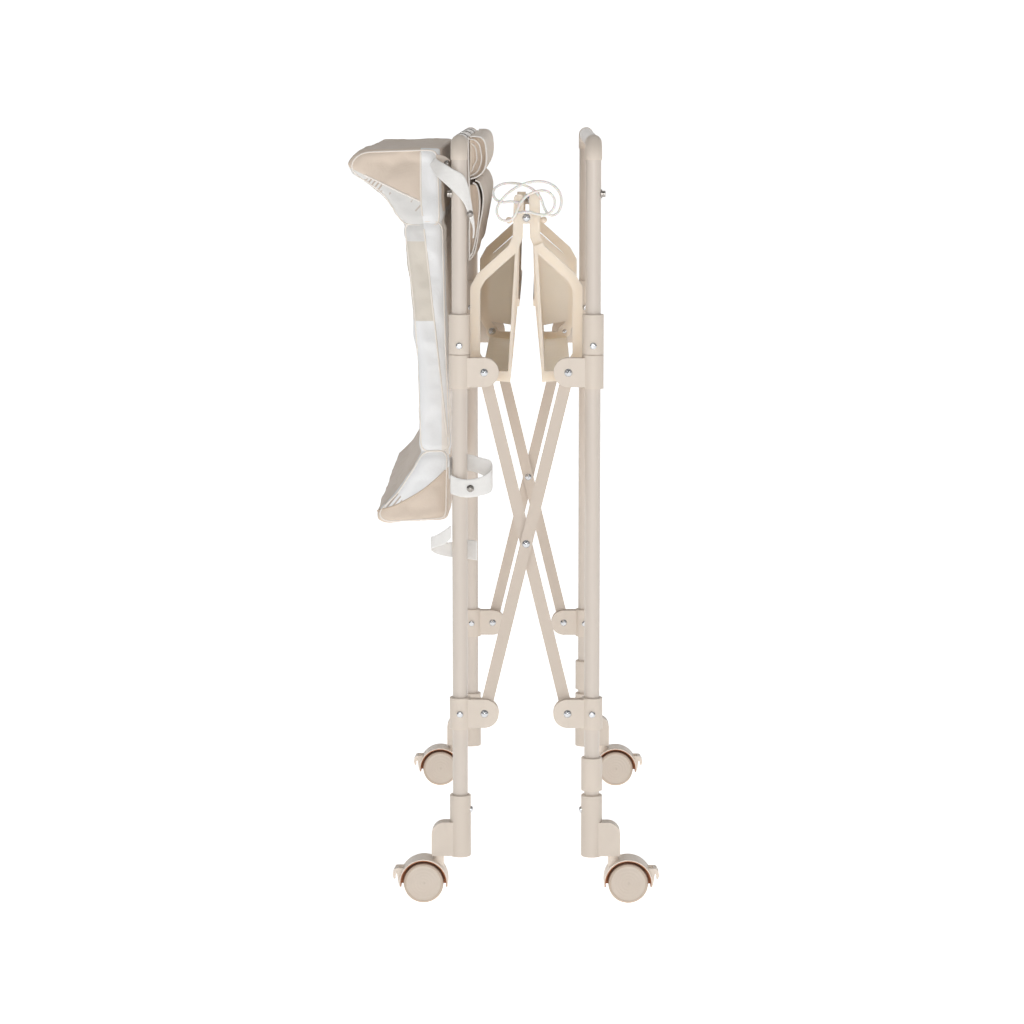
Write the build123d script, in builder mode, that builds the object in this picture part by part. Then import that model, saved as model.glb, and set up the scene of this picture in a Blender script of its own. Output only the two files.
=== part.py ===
from build123d import *
from math import asin, atan2, cos, degrees, hypot, pi, radians, sin, sqrt, tan
import os

# Folding changing table on castors, folded for storage, in millimetres.
# +Z is up, X runs across the fold, Y runs along the rails, and the castors stand on Z = 0.
# The origin is under the middle of the object's box.
# "near" is the -Y end and "far" is the +Y end; "left" is -X and "right" is +X.
# A place across the fold is given as its distance out from the fold plane, and a place along the
# rails as its distance out from the middle plane, so that one number serves both hands.

# Side frames
leg_out = 82.5                 # fold plane to leg centre
leg_along = 340.0              # middle plane to leg centre
tube_radius = 9.5
tube_wall = 1.2
elbow_radius = 10.5
elbow_bend = 20.0
top_height = 960.0
elbow_spigot = 12.0
collar_radius = 13.25
slide_clearance = 0.3

# Castor sockets and extra sleeves on the legs
socket_low = 57.0
socket_high = 136.0
socket_floor = 5.0
lobe_low = 58.5
lobe_high = 101.5
lobe_out = 118.7
lobe_half_width = 10.0
sleeve_low = 142.0
sleeve_high = 184.0

# Brackets on the legs
stop_low = 691.0
stop_high = 740.5
slider_low = 648.5
slider_high = 690.6
bracket_low = 220.5
bracket_high = 260.5
ear_radius = 18.0
ear_plate = 3.0
ear_outer_face = 349.2         # outer face of the outer plate, from the middle plane
ear_inner_face = 334.0         # inner face of the inner plate, from the middle plane

# Scissor braces
pin_out = 52.0                 # fold plane to ear pins, folded
lower_pin_height = 240.5
bar_length = 440.6             # pin to pin
bar_width = 15.0
bar_thickness = 2.5
bar_a_layer = 342.6            # inner face of the first pair of bars
bar_b_layer = 338.6            # inner face of the second pair of bars
pin_radius = 3.0
running_clearance = 0.05
pin_head_radius = 5.0
screw_seat = 1.0
stop_screw_height = 702.0
socket_screw_height = 116.5
screw_head_radius = 4.2
head_height = 2.5

# Tray halves
tray_along = 323.0             # middle plane to the outer face of an end arch
arch_thickness = 10.0
arch_width = 12.5
tray_wall = 3.0
tray_pin_height = 858.0
hinge_lug_radius = 7.5
hinge_gap = 0.4
hinge_clear_radius = 36.0
tray_boss_radius = 9.0
knob_radius = 4.2
knob_out = 21.5
knob_below_pin = 3.0

# Castors
wheel_radius = 25.0
wheel_trail = 18.5
wheel_half_width = 18.0
web_half_width = 2.2
wheel_side_gap = 0.6
hood_inner = 28.3
hood_outer = 30.8
hood_droop = 8.0               # degrees that the hood reaches below the axle
axle_radius = 3.0
stem_out = 110.2
stem_radius = 4.0
stem_top = 92.0
neck_radius = 6.8
lever_half_width = 6.5
lever_pin_radius = 1.5
lever_pin_half = 10.0
lever_lug_gap = 0.5
lever_reach = 39.3             # wheel axle to the tip of the brake lever
lever_pin_out = 33.6           # wheel axle to the lever's pin, outwards
lever_pin_up = 14.2            # and upwards

# Snap studs for the mat's straps
stud_height = 888.0
stud_plate_radius = 5.5
stud_plate = 1.2
stud_post_radius = 4.0
stud_post = 4.0

# Mat and organiser
mat_half_length = 322.0
mat_reach = 226.9              # fold plane to the mat's furthest edge
mat_back_top = 105.0
mat_back_low = 92.6
organiser_inner = 50.0
organiser_outer = 71.5
organiser_low = 802.0
organiser_high = 956.0
organiser_half_length = 300.0

# Pull cord
cord_radius = 1.75

# Worked out from the sizes above
castor_reach = stem_out + wheel_trail + lever_reach
fold_x = (mat_reach - castor_reach) / 2
rail_height = top_height - elbow_radius
leg_top = rail_height - elbow_bend
rail_end = leg_along - elbow_bend
upper_pin_height = lower_pin_height + sqrt(bar_length**2 - (2 * pin_out) ** 2)
bar_angle = degrees(atan2(upper_pin_height - lower_pin_height, 2 * pin_out))
crossing_height = (lower_pin_height + upper_pin_height) / 2
wheel_out = stem_out + wheel_trail

fold_plane = Plane.YZ.offset(fold_x)
ends = {"near": -1, "far": 1}


def across(out):
    """X of a place on the right hand, at a distance out from the fold plane."""
    return fold_x + out


def handed(part, hand):
    """Pieces are made for the right hand, and the left hand's are their mirror images."""
    return mirror(part, about=fold_plane) if hand == "left" else part


def layer(end, inner, outer):
    """Lowest and highest Y of a layer between two distances from the middle plane."""
    return min(end * inner, end * outer), max(end * inner, end * outer)


def end_plane(y):
    """Plane seen from the near end, at one Y: its x is X and its y is Z."""
    return Plane.XZ.offset(-y)


def rivet(x, z, end, inner, outer, radius, head):
    """Rivet along Y with a low dome on both ends; inner and outer are its grip."""
    dome = (head**2 + head_height**2) / (2 * head_height)
    half = asin(head / dome) / 2
    rise = head_height - dome + dome * cos(half)
    with BuildPart() as part:
        with BuildSketch(Plane((x, 0, z), x_dir=(0, end, 0), z_dir=(1, 0, 0))):
            with BuildLine():
                Polyline((inner, head), (inner, radius), (outer, radius), (outer, head))
                ThreePointArc((outer, head), (outer + rise, dome * sin(half)), (outer + head_height, 0))
                Line((outer + head_height, 0), (inner - head_height, 0))
                ThreePointArc((inner - head_height, 0), (inner - rise, dome * sin(half)), (inner, head))
            make_face()
        revolve(axis=Axis((x, 0, z), (0, 1, 0)))
    return part.part


def face_screw(end, facing, z):
    """Dome screw in a leg fitting, facing out from the middle plane (1) or in towards it (-1)."""
    way = end * facing
    seat_y = end * leg_along + way * (collar_radius - screw_seat)
    with BuildPart() as part:
        with BuildSketch(Plane((across(leg_out), seat_y, z), x_dir=(1, 0, 0), z_dir=(0, way, 0))):
            Circle(screw_head_radius)
        extrude(amount=head_height + screw_seat)
        fillet(part.faces().sort_by(Axis.Y)[-1 if way > 0 else 0].edges(), head_height * 0.8)
        with BuildSketch(Plane((across(leg_out), end * leg_along, z - screw_head_radius))):
            Circle(collar_radius)
        extrude(amount=2 * screw_head_radius, mode=Mode.SUBTRACT)
    return part.part


def ear_pin(end, z, inner_face):
    """Riveted pin through the two ear plates, or on through a tray arm as well."""
    return rivet(across(pin_out), z, end, inner_face, ear_outer_face, pin_radius, pin_head_radius)


def side_screw(end, out, z):
    """Dome screw in the face of a leg fitting that looks at the fold plane."""
    with BuildPart() as part:
        seat = Plane((across(out + screw_seat), end * leg_along, z), x_dir=(0, 1, 0), z_dir=(-1, 0, 0))
        with BuildSketch(seat):
            Circle(screw_head_radius)
        extrude(amount=head_height + screw_seat)
        fillet(part.faces().sort_by(Axis.X)[0].edges(), head_height * 0.8)
        with BuildSketch(Plane((across(leg_out), end * leg_along, z - screw_head_radius))):
            Circle(collar_radius)
        extrude(amount=2 * screw_head_radius, mode=Mode.SUBTRACT)
    return part.part


def write(part, name):
    """Label a finished piece and write it."""
    part.label = name
    export_step(part, f"parts/{name}.step")
    print(f"{name}: {part.volume:.0f} mm3")


def group(parts):
    """Separate solids of one kind kept together in one node."""
    return Compound([solid for part in parts for solid in part.solids()])


# ---- Side frames: tubes, rails and elbows ----

def leg_tube(end):
    foot = socket_low + socket_floor
    with BuildPart() as part:
        with BuildSketch(Plane((across(leg_out), end * leg_along, foot))):
            Circle(tube_radius)
            Circle(tube_radius - tube_wall, mode=Mode.SUBTRACT)
        extrude(amount=leg_top - foot)
    return part.part


def top_rail():
    with BuildPart() as part:
        with BuildSketch(Plane((across(leg_out), -rail_end, rail_height), z_dir=(0, 1, 0))):
            Circle(tube_radius)
            Circle(tube_radius - tube_wall, mode=Mode.SUBTRACT)
        extrude(amount=2 * rail_end)
    return part.part


def elbow(end):
    """Solid corner piece from a leg to the rail, with a spigot in each tube."""
    x = across(leg_out)
    corner = elbow_bend * sqrt(0.5)
    spigot = tube_radius - tube_wall - 0.1
    with BuildPart() as part:
        with BuildLine() as path:
            ThreePointArc(
                (x, end * leg_along, leg_top),
                (x, end * (rail_end + corner), leg_top + corner),
                (x, end * rail_end, rail_height),
            )
        with BuildSketch(Plane((x, end * leg_along, leg_top))):
            Circle(elbow_radius)
        sweep(path=path.line)
        with BuildSketch(Plane((x, end * leg_along, leg_top))):
            Circle(spigot)
        extrude(amount=-elbow_spigot)
        with BuildSketch(Plane((x, end * rail_end, rail_height), z_dir=(0, -end, 0))):
            Circle(spigot)
        extrude(amount=elbow_spigot)
    return part.part


# ---- Fittings on the legs ----

def collar(end, low, high, bore):
    with BuildPart() as part:
        with BuildSketch(Plane((across(leg_out), end * leg_along, low))):
            Circle(collar_radius)
            Circle(bore, mode=Mode.SUBTRACT)
        extrude(amount=high - low)
        chamfer(part.faces().sort_by(Axis.Z)[-1].edges().sort_by(SortBy.RADIUS)[-1], 0.8)
    return part.part


def eared_collar(end, low, high, bore, pin_height):
    """Collar with two ear plates that hold a pin between the leg and the fold plane."""
    pin_x = across(pin_out)
    leg_x = across(leg_out)
    plate_centre = (pin_x + leg_x) / 2
    plates = (
        layer(end, ear_inner_face, ear_inner_face + ear_plate),
        layer(end, ear_outer_face - ear_plate, ear_outer_face),
    )
    with BuildPart() as part:
        with BuildSketch(Plane((leg_x, end * leg_along, low))):
            Circle(collar_radius)
        extrude(amount=high - low)
        chamfer(part.faces().sort_by(Axis.Z)[-1].edges(), 0.8)
        for y_low, y_high in plates:
            with BuildSketch(end_plane(y_high)):
                with Locations((plate_centre, pin_height)):
                    Rectangle(leg_out - pin_out, 2 * ear_radius)
                with Locations((pin_x, pin_height)):
                    Circle(ear_radius)
                    Circle(pin_radius, mode=Mode.SUBTRACT)
            extrude(amount=y_high - y_low)
        with BuildSketch(Plane((leg_x, end * leg_along, low))):
            Circle(bore)
        extrude(amount=high - low, mode=Mode.SUBTRACT)
    return part.part


def castor_socket(end):
    """Closed socket over the leg's foot, with a lobe that carries the castor's stem."""
    leg_x = across(leg_out)
    y_low = end * leg_along - lobe_half_width
    y_high = end * leg_along + lobe_half_width
    shoulder = 16.0
    with BuildPart() as part:
        with BuildSketch(Plane((leg_x, end * leg_along, socket_low))):
            Circle(collar_radius)
        extrude(amount=socket_high - socket_low)
        fillet(part.faces().sort_by(Axis.Z)[0].edges(), 1.5)
        chamfer(part.faces().sort_by(Axis.Z)[-1].edges(), 0.8)
        with BuildSketch(end_plane(y_high)):
            with BuildLine():
                Polyline(
                    (across(lobe_out - shoulder), lobe_high),
                    (leg_x, lobe_high),
                    (leg_x, lobe_low),
                    (across(lobe_out), lobe_low),
                    (across(lobe_out), lobe_high - shoulder),
                )
                ThreePointArc(
                    (across(lobe_out), lobe_high - shoulder),
                    (across(lobe_out - shoulder * (1 - sqrt(0.5))), lobe_high - shoulder * (1 - sqrt(0.5))),
                    (across(lobe_out - shoulder), lobe_high),
                )
            make_face()
        extrude(amount=y_high - y_low)
        with BuildSketch(Plane((across(stem_out), end * leg_along, lobe_low))):
            Circle(stem_radius + running_clearance)
        extrude(amount=stem_top + 1 - lobe_low, mode=Mode.SUBTRACT)
        with BuildSketch(Plane((leg_x, end * leg_along, socket_low + socket_floor))):
            Circle(tube_radius)
        extrude(amount=socket_high, mode=Mode.SUBTRACT)
    return part.part


def snap_stud(end):
    """Stud on the outer side of a leg: a round seat and a short plain post."""
    seat_x = across(leg_out + tube_radius - 0.6)
    seat = Plane((seat_x, end * leg_along, stud_height), x_dir=(0, 1, 0), z_dir=(1, 0, 0))
    with BuildPart() as part:
        with BuildSketch(seat):
            Circle(stud_plate_radius)
        extrude(amount=stud_plate + 0.6)
        with BuildSketch(seat.offset(stud_plate + 0.6)):
            Circle(stud_post_radius)
        extrude(amount=stud_post)
        with BuildSketch(Plane((across(leg_out), end * leg_along, stud_height - stud_plate_radius))):
            Circle(tube_radius)
        extrude(amount=2 * stud_plate_radius, mode=Mode.SUBTRACT)
    return part.part


# ---- Scissor braces ----

def brace_bar(end, inner_face):
    """Flat bar from the right lower pin to the left upper pin."""
    y_low, y_high = layer(end, inner_face, inner_face + bar_thickness)
    hole = pin_radius + running_clearance
    with BuildPart() as part:
        with BuildSketch(end_plane(y_high)):
            with Locations((fold_x, crossing_height)):
                SlotCenterToCenter(bar_length, bar_width, rotation=-bar_angle)
            with Locations(
                (across(pin_out), lower_pin_height),
                (across(-pin_out), upper_pin_height),
                (fold_x, crossing_height),
            ):
                Circle(hole, mode=Mode.SUBTRACT)
        extrude(amount=y_high - y_low)
    return part.part


# ---- Tray halves ----

arch_line = [(9.5, 881.0), (10.7, 834.0), (17.0, 819.5), (55.5, 785.0), (63.3, 771.0), (63.5, 688.0), (52.0, 668.7)]
floor_top = (7.5, tray_pin_height - 1.0)
floor_bottom = (18.7, 668.0)
tray_edge_low = 654.5


def stroke(points, width):
    """Band of one width along straight runs, round at its ends and corners."""
    for (x_0, z_0), (x_1, z_1) in zip(points, points[1:]):
        with Locations(((x_0 + x_1) / 2, (z_0 + z_1) / 2)):
            angle = degrees(atan2(z_1 - z_0, x_1 - x_0))
            SlotCenterToCenter(hypot(x_1 - x_0, z_1 - z_0), width, rotation=angle)


def tray_end_frame(end, hinge_layer, low, high):
    """End arch from Y low to Y high, which near the hinge is only as thick as the hinge layer."""
    with BuildPart() as part:
        with BuildSketch(end_plane(high)):
            stroke([(across(out), z) for out, z in arch_line], arch_width)
            with BuildLine():
                Polyline(
                    (across(floor_top[0]), floor_top[1]),
                    (across(floor_bottom[0]), floor_bottom[1]),
                    (across(floor_bottom[0] + 4), floor_bottom[1]),
                    (across(floor_top[0] + 4), floor_top[1]),
                    close=True,
                )
            make_face()
            with Locations((across(pin_out), upper_pin_height)):
                Circle(tray_boss_radius)
            with BuildLine():
                Polyline(
                    (across(floor_bottom[0]), floor_bottom[1]),
                    (across(floor_bottom[0] + 1.0), tray_edge_low),
                    (across(pin_out + 4), tray_edge_low + 3),
                    (across(pin_out + 4), upper_pin_height),
                    (across(pin_out - 8), upper_pin_height),
                    (across(floor_bottom[0] + 12), floor_bottom[1]),
                    close=True,
                )
            make_face()
            with Locations((fold_x, tray_pin_height)):
                Circle(hinge_clear_radius, mode=Mode.SUBTRACT)
        extrude(amount=high - low)
        y_low, y_high = hinge_layer
        with BuildSketch(end_plane(y_high)):
            stroke([(across(out), z) for out, z in arch_line[:3]], arch_width)
            with BuildLine():
                Polyline(
                    (across(floor_top[0]), floor_top[1]),
                    (across(floor_top[0] + 3), tray_pin_height - hinge_clear_radius - 6),
                    (across(floor_top[0] + 9), tray_pin_height - hinge_clear_radius - 6),
                    (across(floor_top[0] + 6), floor_top[1]),
                    close=True,
                )
            make_face()
            with Locations((fold_x, tray_pin_height)):
                Circle(hinge_lug_radius)
            with BuildLine():
                Polyline(
                    (fold_x, tray_pin_height + hinge_lug_radius),
                    (across(arch_line[0][0]), tray_pin_height + hinge_lug_radius),
                    (across(arch_line[0][0]), tray_pin_height - hinge_lug_radius),
                    (fold_x, tray_pin_height - hinge_lug_radius),
                    close=True,
                )
            make_face()
        extrude(amount=y_high - y_low)
        if end > 0:
            with BuildSketch(end_plane(y_high)):
                with Locations((fold_x, tray_pin_height + 30)):
                    Rectangle(120, 2 * (30 - hinge_lug_radius - 3))
            extrude(amount=y_high - y_low, mode=Mode.SUBTRACT)
    return part.part


def tray_half(hinge_slice):
    """Half of the tray: floor, outer wall, an arch at each end and a panel in the far arch."""
    wall_along = tray_along - arch_thickness
    frames = []
    for end in ends.values():
        low, high = layer(end, wall_along, tray_along)
        frames.append(tray_end_frame(end, layer(end, *hinge_slice), low, high))
    bar_hole = pin_radius + running_clearance
    with BuildPart() as part:
        add(frames)
        with BuildSketch(end_plane(wall_along)):
            with BuildLine():
                Polyline(
                    (across(floor_top[0]), floor_top[1]),
                    (across(10.0), 757.0),
                    (across(8.2), 757.0),
                    (across(8.6), 748.0),
                    (across(11.0), 748.0),
                    (across(floor_bottom[0]), floor_bottom[1]),
                    (across(floor_bottom[0] + 1.0), tray_edge_low),
                    (across(pin_out + 4), tray_edge_low + 3),
                    (across(pin_out + 4), tray_edge_low + 3 + tray_wall),
                    (across(floor_bottom[0] + 1.0 + tray_wall), tray_edge_low + tray_wall),
                    (across(floor_bottom[0] + tray_wall), floor_bottom[1]),
                    (across(10.5 + tray_wall), 757.0),
                    (across(floor_top[0] + tray_wall), floor_top[1]),
                    close=True,
                )
            make_face()
        extrude(amount=2 * wall_along)
        with BuildSketch(end_plane(wall_along + tray_wall)):
            with BuildLine():
                Polyline(
                    (across(14.0), 812.0),
                    (across(57.0), 775.0),
                    (across(58.0), 684.0),
                    (across(19.5), 677.0),
                    (across(12.0), 757.0),
                    close=True,
                )
            make_face()
        extrude(amount=tray_wall)
        with Locations(
            Location((across(pin_out), 0, upper_pin_height), (90, 0, 0)),
            Location((fold_x, 0, tray_pin_height), (90, 0, 0)),
        ):
            Cylinder(bar_hole, 2 * leg_along, mode=Mode.SUBTRACT)
    return part.part


def cord_knob(hinge_slice):
    """Round knob on the outer side of a near arm, clear of the other half's hinge slice."""
    arm_edge = arch_line[1][0] + arch_width / 2
    low, high = hinge_slice
    along = low + knob_radius if high == tray_along else high - knob_radius
    centre = (across(knob_out), -along, tray_pin_height - knob_below_pin)
    with BuildPart() as part:
        with Locations(centre):
            Sphere(knob_radius)
        with BuildSketch(Plane(centre, z_dir=(-1, 0, 0))):
            Circle(knob_radius * 0.5)
        extrude(amount=knob_out - arm_edge)
    return part.part


# ---- Castors ----

def castor_hood(end):
    """Hood over the twin wheel, with its middle web, neck, stem and brake lugs."""
    y = end * leg_along
    axle_x = across(wheel_out)
    drop = hood_outer * sin(radians(hood_droop))
    lug_x = across(wheel_out + lever_pin_out)
    lug_z = wheel_radius + lever_pin_up
    with BuildPart() as part:
        with BuildSketch(end_plane(y + wheel_half_width)):
            with Locations((axle_x, wheel_radius)):
                Circle(hood_outer)
        extrude(amount=2 * wheel_half_width)
        fillet(part.edges().filter_by(GeomType.CIRCLE), 0.8)
        with BuildSketch(Plane((across(stem_out), y, lobe_low - 0.6))):
            Circle(neck_radius)
        extrude(amount=-16)
        for side in (-1, 1):
            inner = y + side * (lever_half_width + lever_lug_gap)
            outer = y + side * (lever_pin_half + 0.5)
            with BuildSketch(end_plane(max(inner, outer))):
                with Locations((lug_x, lug_z)):
                    Circle(3.6)
                with BuildLine():
                    Polyline(
                        (across(wheel_out + 20.0), wheel_radius + 17.8),
                        (lug_x, lug_z + 3.6),
                        (lug_x, lug_z - 3.6),
                        (across(wheel_out + 31.6), wheel_radius - 3.0),
                        (across(wheel_out + 20.0), wheel_radius - 3.0),
                        close=True,
                    )
                make_face()
            extrude(amount=abs(outer - inner))
        with BuildSketch(end_plane(y + 2 * wheel_half_width)):
            with Locations((axle_x, wheel_radius)):
                Circle(hood_inner)
            with Locations((axle_x, wheel_radius - drop - hood_outer / 2)):
                Rectangle(3 * hood_outer, hood_outer)
        extrude(amount=4 * wheel_half_width, mode=Mode.SUBTRACT)
        with BuildSketch(end_plane(y + web_half_width)):
            with Locations((axle_x, wheel_radius)):
                Circle((hood_inner + hood_outer) / 2)
            with Locations((axle_x, wheel_radius - drop - hood_outer / 2 + 1)):
                Rectangle(3 * hood_outer, hood_outer, mode=Mode.SUBTRACT)
        extrude(amount=2 * web_half_width)
        with BuildSketch(Plane((across(stem_out), y, lobe_low - 2))):
            Circle(stem_radius)
        extrude(amount=stem_top - lobe_low + 2)
        with Locations(Location((lug_x, y, lug_z), (90, 0, 0))):
            Cylinder(lever_pin_radius + running_clearance, 30, mode=Mode.SUBTRACT)
        with Locations(Location((axle_x, y, wheel_radius), (90, 0, 0))):
            Cylinder(axle_radius + running_clearance, 3 * web_half_width, mode=Mode.SUBTRACT)
    return part.part


def castor_wheel(end):
    """Twin wheel: two discs with a rounded tread on one axle."""
    y = end * leg_along
    profile = Plane((across(wheel_out), y, wheel_radius), x_dir=(0, 1, 0), z_dir=(1, 0, 0))
    inner = web_half_width + wheel_side_gap
    outer = wheel_half_width - 0.4
    with BuildPart() as part:
        for side in (-1, 1):
            with BuildSketch(profile):
                with BuildLine():
                    Polyline(
                        (0, 0), (0, axle_radius), (side * inner, axle_radius), (side * inner, wheel_radius - 1.5)
                    )
                    Line((side * inner, wheel_radius - 1.5), (side * (inner + 1.5), wheel_radius))
                    Line((side * (inner + 1.5), wheel_radius), (side * (outer - 2), wheel_radius))
                    Polyline(
                        (side * (outer - 2), wheel_radius),
                        (side * (outer - 0.6), wheel_radius - 0.6),
                        (side * outer, wheel_radius - 2.4),
                        (side * (outer - 0.5), wheel_radius - 4.0),
                        (side * outer, 0),
                        (0, 0),
                    )
                make_face()
            revolve(axis=Axis((across(wheel_out), y, wheel_radius), (0, 1, 0)))
    return part.part


def brake_lever(end):
    """Hooked pedal on the outer side of the hood, on a pin between two lugs."""
    y = end * leg_along
    outline = [
        (31.6, 17.9), (36.0, 16.8), (38.6, 13.2), (lever_reach, 7.5), (37.9, 2.8),
        (35.8, 3.4), (35.9, 7.4), (34.4, 10.3), (31.9, 11.3),
    ]
    with BuildPart() as part:
        with BuildSketch(end_plane(y + lever_half_width)):
            with BuildLine():
                Polyline(*[(across(wheel_out + out), wheel_radius + up) for out, up in outline], close=True)
            make_face()
        extrude(amount=2 * lever_half_width)
        with Locations(Location((across(wheel_out + lever_pin_out), y, wheel_radius + lever_pin_up), (90, 0, 0))):
            Cylinder(lever_pin_radius, 2 * lever_pin_half)
    return part.part


# ---- Soft parts and the pull cord ----

def mat_piece(outline):
    """Part of the mat with one section along its whole length, on the left hand."""
    with BuildPart() as part:
        with BuildSketch(end_plane(mat_half_length)):
            with BuildLine():
                Polyline(*[(across(out), z) for out, z in outline], close=True)
            make_face()
        extrude(amount=2 * mat_half_length)
    return handed(part.part, "left")


cord_route = [
    (-10.0, 877.0, 323.0), (-10.0, 877.0, 333.0), (-19.0, 879.0, 339.0), (-30.0, 877.0, 339.5),
    (-39.5, 881.5, 337.0), (-41.5, 892.0, 334.5), (-33.5, 899.0, 332.5), (-20.0, 901.5, 332.0),
    (-5.0, 899.5, 331.5), (8.5, 893.5, 332.0), (18.0, 883.5, 333.0), (21.5, 871.0, 334.5),
    (28.0, 860.5, 336.0), (38.5, 862.5, 337.0), (43.5, 874.5, 337.5), (42.5, 888.0, 338.0),
    (34.0, 898.5, 338.5), (20.5, 903.5, 339.0), (5.5, 903.0, 339.5), (-9.0, 898.0, 340.0),
    (-21.5, 890.0, 341.0), (-31.5, 880.0, 343.5), (-37.5, 868.0, 344.5), (-33.0, 856.5, 344.5),
    (-21.5, 854.0, 345.0), (-13.0, 862.0, 345.5), (-9.5, 874.5, 345.0), (-1.5, 885.0, 344.0),
    (11.0, 891.5, 343.5), (24.5, 892.5, 343.5), (34.5, 884.5, 343.5), (35.5, 872.0, 343.0),
    (27.5, 862.5, 342.0), (15.0, 862.5, 340.5), (3.0, 866.5, 339.0), (-9.5, 864.5, 333.5),
    (-9.5, 864.5, 323.0),
]


def pull_cord():
    """Cord from one hole in the left arm, over and back twice, to a second hole below it."""
    points = [Vector(fold_x + x, -along, z) for x, z, along in cord_route]
    radii = []
    for before, here, after in zip(points, points[1:], points[2:]):
        half_turn = radians((here - before).get_angle(after - here)) / 2
        shorter = min((here - before).length, (after - here).length)
        radii.append(0.45 * shorter / tan(half_turn))
    print("cord radii:", ", ".join(f"{radius:.1f}" for radius in radii))
    with BuildPart() as part:
        with BuildLine() as path:
            FilletPolyline(*points, radius=radii)
        with BuildSketch(Plane(points[0], z_dir=points[1] - points[0])):
            Circle(cord_radius)
        sweep(path=path.line)
    section = pi * cord_radius**2
    length = sum(edge.length for edge in path.edges())
    print(f"cord length {length:.1f}, volume over section {part.part.volume / section:.1f}")
    return part.part


# ---- Write every piece ----

os.makedirs("parts", exist_ok=True)

middle = tray_along - arch_thickness / 2
outer_slice = (middle + hinge_gap / 2, tray_along)
inner_slice = (tray_along - arch_thickness, middle - hinge_gap / 2)
hinge_slices = {"left": outer_slice, "right": inner_slice}
slider_pin_starts = {"left": tray_along - arch_thickness, "right": ear_inner_face}

for hand, hinge_slice in hinge_slices.items():
    write(handed(top_rail(), hand), f"{hand}_top_rail")
    write(group([handed(elbow(end), hand) for end in ends.values()]), f"{hand}_elbows")
    write(group([handed(snap_stud(end), hand) for end in ends.values()]), f"{hand}_snap_studs")
    for end_name, end in ends.items():
        stop = collar(end, stop_low, stop_high, tube_radius)
        slider_bore = tube_radius + slide_clearance
        slider = eared_collar(end, slider_low, slider_high, slider_bore, upper_pin_height)
        bracket = eared_collar(end, bracket_low, bracket_high, tube_radius, lower_pin_height)
        write(handed(leg_tube(end), hand), f"{hand}_leg_{end_name}")
        write(handed(stop, hand), f"{hand}_stop_{end_name}")
        write(handed(slider, hand), f"{hand}_slider_{end_name}")
        write(handed(bracket, hand), f"{hand}_lower_bracket_{end_name}")
        write(handed(castor_socket(end), hand), f"{hand}_castor_socket_{end_name}")
        write(handed(castor_hood(end), hand), f"castor_hood_{end_name}_{hand}")
        write(handed(castor_wheel(end), hand), f"castor_wheel_{end_name}_{hand}")
        write(handed(brake_lever(end), hand), f"castor_brake_{end_name}_{hand}")
    leg_screws = []
    lower_pins = []
    slider_pins = []
    for end in ends.values():
        leg_screws.append(handed(side_screw(end, leg_out - collar_radius, socket_screw_height), hand))
        for z in (stop_screw_height, lower_pin_height):
            for facing in (1, -1):
                leg_screws.append(handed(face_screw(end, facing, z), hand))
        lower_pins.append(handed(ear_pin(end, lower_pin_height, ear_inner_face), hand))
        slider_pins.append(handed(ear_pin(end, upper_pin_height, slider_pin_starts[hand]), hand))
    write(group(leg_screws), f"{hand}_frame_screws")
    write(group(lower_pins), f"{hand}_lower_pins")
    write(group(slider_pins), f"{hand}_slider_pins")
    write(handed(tray_half(hinge_slice), hand), f"tray_{hand}")
    write(handed(cord_knob(hinge_slice), hand), f"cord_knob_{hand}")

sleeves = [collar(end, sleeve_low, sleeve_high, tube_radius) for end in ends.values()]
write(group(sleeves), "right_leg_sleeves")

for end_name, end in ends.items():
    write(handed(brace_bar(end, bar_a_layer), "left"), f"brace_a_{end_name}")
    write(brace_bar(end, bar_b_layer), f"brace_b_{end_name}")

crossing_rivets = [
    rivet(fold_x, crossing_height, end, bar_b_layer, bar_a_layer + bar_thickness, pin_radius, pin_head_radius)
    for end in ends.values()
]
write(group(crossing_rivets), "brace_crossing_rivets")

tray_pins = [
    rivet(
        fold_x, tray_pin_height, end, tray_along - arch_thickness, tray_along, pin_radius, pin_head_radius
    )
    for end in ends.values()
]
write(group(tray_pins), "tray_hinge_pins")
write(pull_cord(), "pull_cord")

mat_top = 947.0
mat_seam = 851.0
mat_low_seam = 566.0
mat_foot = 471.0
write(
    mat_piece([
        (mat_back_top, mat_top), (208.0, mat_top - 1), (mat_reach - 6, 936.0), (mat_reach, 925.0),
        (222.0, 912.0), (201.0, 899.0), (176.0, 878.0), (153.0, mat_seam), (mat_back_top - 3, mat_seam),
    ]),
    "mat_top_bolster",
)
write(
    mat_piece([
        (153.0, mat_seam), (144.0, 757.0), (136.0, 669.0), (131.0, mat_low_seam),
        (mat_back_low, mat_low_seam), (mat_back_low, 719.0), (mat_back_top - 3, mat_seam),
    ]),
    "mat_base",
)
write(
    mat_piece([
        (131.0, mat_low_seam), (171.0, 510.0), (190.0, 492.0), (193.5, 485.0), (188.0, 475.0),
        (179.0, mat_foot), (96.0, 477.0), (mat_back_low, 481.0), (mat_back_low, mat_low_seam),
    ]),
    "mat_bottom_bolster",
)

with BuildPart() as organiser:
    with BuildSketch(Plane.XY.offset(organiser_low)):
        with Locations((across((organiser_inner + organiser_outer) / 2), 0)):
            Rectangle(organiser_outer - organiser_inner, 2 * organiser_half_length)
    extrude(amount=organiser_high - organiser_low)
write(handed(organiser.part, "left"), "organiser")
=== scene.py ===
"""Looks of the folded changing table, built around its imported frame. Metres throughout."""
import math

import bmesh
import bpy
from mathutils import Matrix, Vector, noise
from mathutils.bvhtree import BVHTree


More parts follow.
